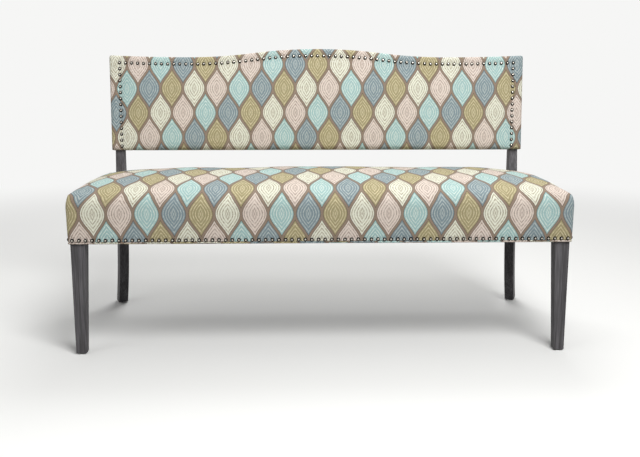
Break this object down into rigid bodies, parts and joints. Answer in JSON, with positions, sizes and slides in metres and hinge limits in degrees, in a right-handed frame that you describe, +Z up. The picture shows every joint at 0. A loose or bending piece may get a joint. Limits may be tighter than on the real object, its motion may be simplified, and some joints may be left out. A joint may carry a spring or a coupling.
{
  "type": "upholstered banquette bench",
  "caption": "Free-standing upholstered banquette bench: crowned tight seat, low padded back with a camel-shaped top, nail-head trim, square front legs, swept rear legs.",
  "frame": {"origin": "on the floor, at the middle of the overall footprint", "axes": "+Z up, +X along the bench to the right seen from the front, front of the bench towards -Y"},
  "size_m": [1.4664, 0.6206, 0.8979],
  "materials": {
    "leg_wood": "weathered grey-brown stain, satin",
    "steel": "zinc plated",
    "frame_wood": "planed, unfinished hardwood",
    "dowel_wood": "unfinished beech",
    "webbing": "woven jute",
    "hessian": "open plain weave",
    "foam": "polyurethane foam",
    "wadding": "soft fibre wadding",
    "cover_fabric": "woven tapestry cloth, traditional ogee lattice in five muted colours on taupe",
    "nail_metal": "antiqued, bright dome with a dark rim",
    "dust_cloth": "thin black non-woven cloth",
    "card": "stiff upholstery board"
  },
  "bodies": {
    "root": {"front_leg_left": "leg_wood", "front_leg_right": "leg_wood", "rear_leg_left": "leg_wood", "rear_leg_right": "leg_wood", "glide_front_left": "steel", "glide_front_right": "steel", "glide_rear_left": "steel", "glide_rear_right": "steel", "cross_rail_screws": "steel", "post_bolts": "steel", "post_nuts": "steel", "seat_front_rail": "frame_wood", "seat_rear_rail": "frame_wood", "seat_side_rail_left": "frame_wood", "seat_side_rail_right": "frame_wood", "seat_cross_rails": "frame_wood", "seat_corner_blocks": "frame_wood", "back_top_rail": "frame_wood", "back_bottom_rail": "frame_wood", "back_uprights": "frame_wood", "seat_dowels": "dowel_wood", "back_dowels": "dowel_wood", "seat_webbing_long": "webbing", "seat_webbing_cross": "webbing", "back_webbing": "webbing", "seat_deck": "hessian", "seat_foam": "foam", "back_foam": "foam", "seat_wadding": "wadding", "back_side_padding": "wadding", "seat_cover": "cover_fabric", "seat_welt": "cover_fabric", "back_cover": "cover_fabric", "outside_back_cover": "cover_fabric", "seat_nails_front": "nail_metal", "seat_nails_left": "nail_metal", "seat_nails_right": "nail_metal", "back_nails_top": "nail_metal", "back_nails_left": "nail_metal", "back_nails_right": "nail_metal", "dust_cover": "dust_cloth", "outside_back_liner": "card"}
  },
  "joints": []
}
